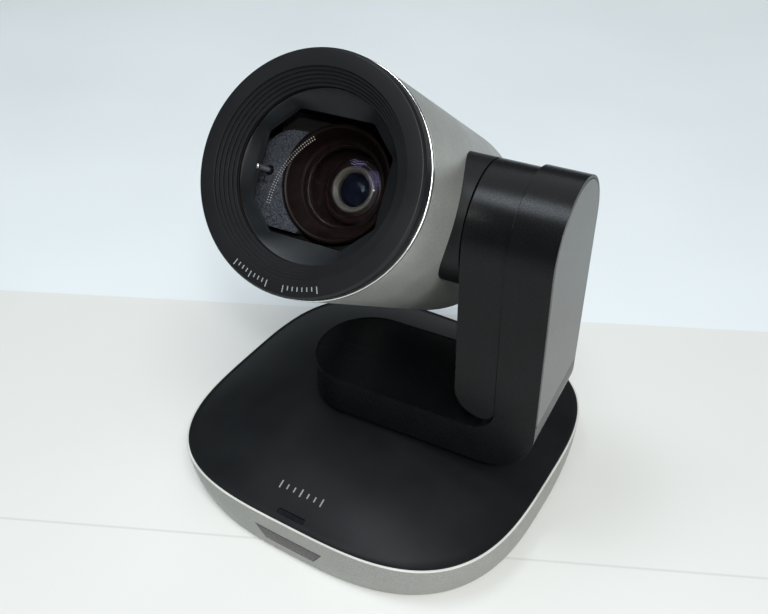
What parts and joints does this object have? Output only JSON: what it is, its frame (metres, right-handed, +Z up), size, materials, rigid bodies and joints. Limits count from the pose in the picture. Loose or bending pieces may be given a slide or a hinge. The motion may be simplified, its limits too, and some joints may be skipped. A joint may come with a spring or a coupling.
{
  "type": "pan-tilt-zoom conference camera",
  "caption": "Desktop pan-tilt-zoom camera: rounded-square base, one-armed yoke that pans, and a barrel head that tilts and holds a motor-driven zoom lens.",
  "frame": {"origin": "on the table, under the centre of the base; the pan axis stands 3.5 mm in front of it", "axes": "+Z up, parallel to the pan axis, -Y towards the front of the base, +X towards the side that carries the yoke's arm; the yoke is stored turned 4 degrees and the head raised 35.5 degrees"},
  "size_m": [0.131, 0.126, 0.1656],
  "materials": {
    "tray_silver": "satin warm-silver metallic coating on moulded plastic",
    "shell_black": "fine-textured satin black",
    "rubber": "matt",
    "brass": "machined",
    "steel": "brushed",
    "screw_steel": "zinc plated",
    "board_green": "solder mask",
    "chip_black": "moulded epoxy",
    "panel_black": "fine texture",
    "socket_black": "moulded",
    "socket_metal": "nickel plated",
    "smoke_window": "dark infrared-passing plastic",
    "ir_gray": "dark translucent",
    "motor_metal": "pressed can",
    "yoke_black": "smooth satin black",
    "deck_black": "smooth black",
    "cover_gray": "smooth black that mirrors its surroundings",
    "gear_white": "acetal",
    "ribbon": "flexible polyimide",
    "barrel_silver": "satin warm-grey metallic coating",
    "hub_dark": "satin dark grey",
    "trim_bright": "bright edge",
    "bezel_black": "matt charcoal",
    "hood_black": "matt",
    "lens_body": "glass-filled, grained",
    "lens_ring": "satin black",
    "lens_glass": "coated",
    "sensor": "bare silicon under glass",
    "aluminium": "extruded"
  },
  "bodies": {
    "base": {"bottom_tray": "tray_silver", "top_shell": "shell_black", "rubber_feet": "rubber", "tripod_insert": "brass", "ballast_plate": "steel", "base_screws": "screw_steel", "main_board": "board_green", "board_chips": "chip_black", "port_panel": "panel_black", "power_jack": "socket_black", "usb_port": "socket_metal", "control_socket": "socket_black", "lock_slot": "steel", "led_window": "smoke_window", "ir_window": "ir_gray", "ir_receiver": "chip_black", "bearing_plate": "panel_black", "pan_bearing": "steel", "pan_motor": "motor_metal"},
    "yoke": {"yoke_frame": "yoke_black", "deck_front": "deck_black", "deck_rear": "deck_black", "inner_housing": "yoke_black", "side_cover": "cover_gray", "pan_spindle": "aluminium", "pan_gear": "gear_white", "spindle_screws": "screw_steel", "tilt_bearing": "steel", "tilt_bracket": "steel", "tilt_motor": "motor_metal", "ribbon_cable": "ribbon"},
    "head": {"barrel_shell": "barrel_silver", "rear_cap": "barrel_silver", "side_hub": "hub_dark", "trim_ring": "trim_bright", "front_bezel": "bezel_black", "lens_hood": "hood_black", "lens_housing": "lens_body", "front_ring": "lens_ring", "front_element": "lens_glass", "guide_rods": "steel", "zoom_motor": "motor_metal", "focus_motor": "motor_metal", "sensor_board": "board_green", "image_sensor": "sensor", "video_board": "board_green", "heat_sink": "aluminium", "tilt_shaft": "aluminium", "tilt_gear": "gear_white"},
    "pan_pinion": {"pan_pinion": "brass"},
    "tilt_pinion": {"tilt_pinion": "brass"},
    "zoom_group": {"zoom_carrier": "lens_ring", "zoom_glass": "lens_glass"},
    "zoom_screw": {"zoom_screw": "steel"},
    "focus_group": {"focus_carrier": "lens_ring", "focus_glass": "lens_glass"},
    "focus_screw": {"focus_screw": "steel"}
  },
  "joints": [
    {"name": "pan", "type": "hinge", "parent": "base", "child": "yoke", "pos_m": [0, -0.0035, 0.02], "axis": [0, 0, 1], "range_deg": [-134, 126]},
    {"name": "tilt", "type": "hinge", "parent": "yoke", "child": "head", "pos_m": [0, -0.0035, 0.113], "axis": [-0.9976, -0.0698, 0], "range_deg": [-65, 54]},
    {"name": "pan_pinion_spin", "type": "hinge", "parent": "base", "child": "pan_pinion", "pos_m": [-0.0225, -0.0035, 0.0135], "axis": [0, 0, 1], "range_deg": [-540, 540]},
    {"name": "tilt_pinion_spin", "type": "hinge", "parent": "yoke", "child": "tilt_pinion", "pos_m": [0.04489, -0.00036, 0.09425], "axis": [-0.9976, -0.0698, 0], "range_deg": [-264, 264]},
    {"name": "zoom_screw_spin", "type": "hinge", "parent": "head", "child": "zoom_screw", "pos_m": [-0.01842, -0.00525, 0.11235], "axis": [0.0568, -0.8121, 0.5807], "range_deg": [-2540, 1100]},
    {"name": "zoom_slide", "type": "slide", "parent": "head", "child": "zoom_group", "axis": [0.0568, -0.8121, 0.5807], "range_m": [-0.014, 0.006]},
    {"name": "focus_screw_spin", "type": "hinge", "parent": "head", "child": "focus_screw", "pos_m": [0.01599, -0.00285, 0.11235], "axis": [0.0568, -0.8121, 0.5807], "range_deg": [-1820, 920]},
    {"name": "focus_slide", "type": "slide", "parent": "head", "child": "focus_group", "axis": [0.0568, -0.8121, 0.5807], "range_m": [-0.01, 0.005]}
  ],
  "couplings": [
    {"joint": "pan_pinion_spin", "follows": "pan", "ratio": -4},
    {"joint": "tilt_pinion_spin", "follows": "tilt", "ratio": -4},
    {"joint": "zoom_screw_spin", "follows": "zoom_slide", "rad_per_m": 3141.6},
    {"joint": "focus_screw_spin", "follows": "focus_slide", "rad_per_m": 3141.6}
  ]
}
